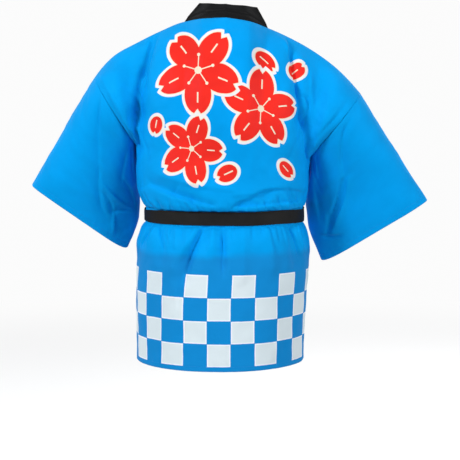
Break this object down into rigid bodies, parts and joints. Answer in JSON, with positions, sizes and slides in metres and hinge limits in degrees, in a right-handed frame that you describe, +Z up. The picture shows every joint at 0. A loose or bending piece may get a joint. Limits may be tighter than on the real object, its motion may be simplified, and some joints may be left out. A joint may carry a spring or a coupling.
{
  "type": "happi coat",
  "caption": "Short straight festival coat with wide open sleeves and a band collar, worn crossed over in front and tied closed with a narrow belt.",
  "frame": {"origin": "in the middle of the wearer's neck, level with the nape seam, where the coat is carried", "axes": "+Z up, +X towards the wearer's left sleeve, +Y out of the coat's back"},
  "size_m": [0.9007, 0.315, 0.7997],
  "materials": {
    "blue_cloth": "smooth thin polyester, soft satin",
    "sleeve_cloth": "smooth thin polyester, soft satin",
    "collar_cloth": "smooth black cotton-like cloth, slight sheen",
    "belt_cloth": "matt black cloth"
  },
  "bodies": {
    "root": {"back": "blue_cloth", "front_left": "blue_cloth", "front_right": "blue_cloth", "sleeve_left": "sleeve_cloth", "sleeve_right": "sleeve_cloth", "collar": "collar_cloth", "belt": "belt_cloth", "belt_knot": "belt_cloth", "belt_end_left": "belt_cloth", "belt_end_right": "belt_cloth"}
  },
  "joints": []
}
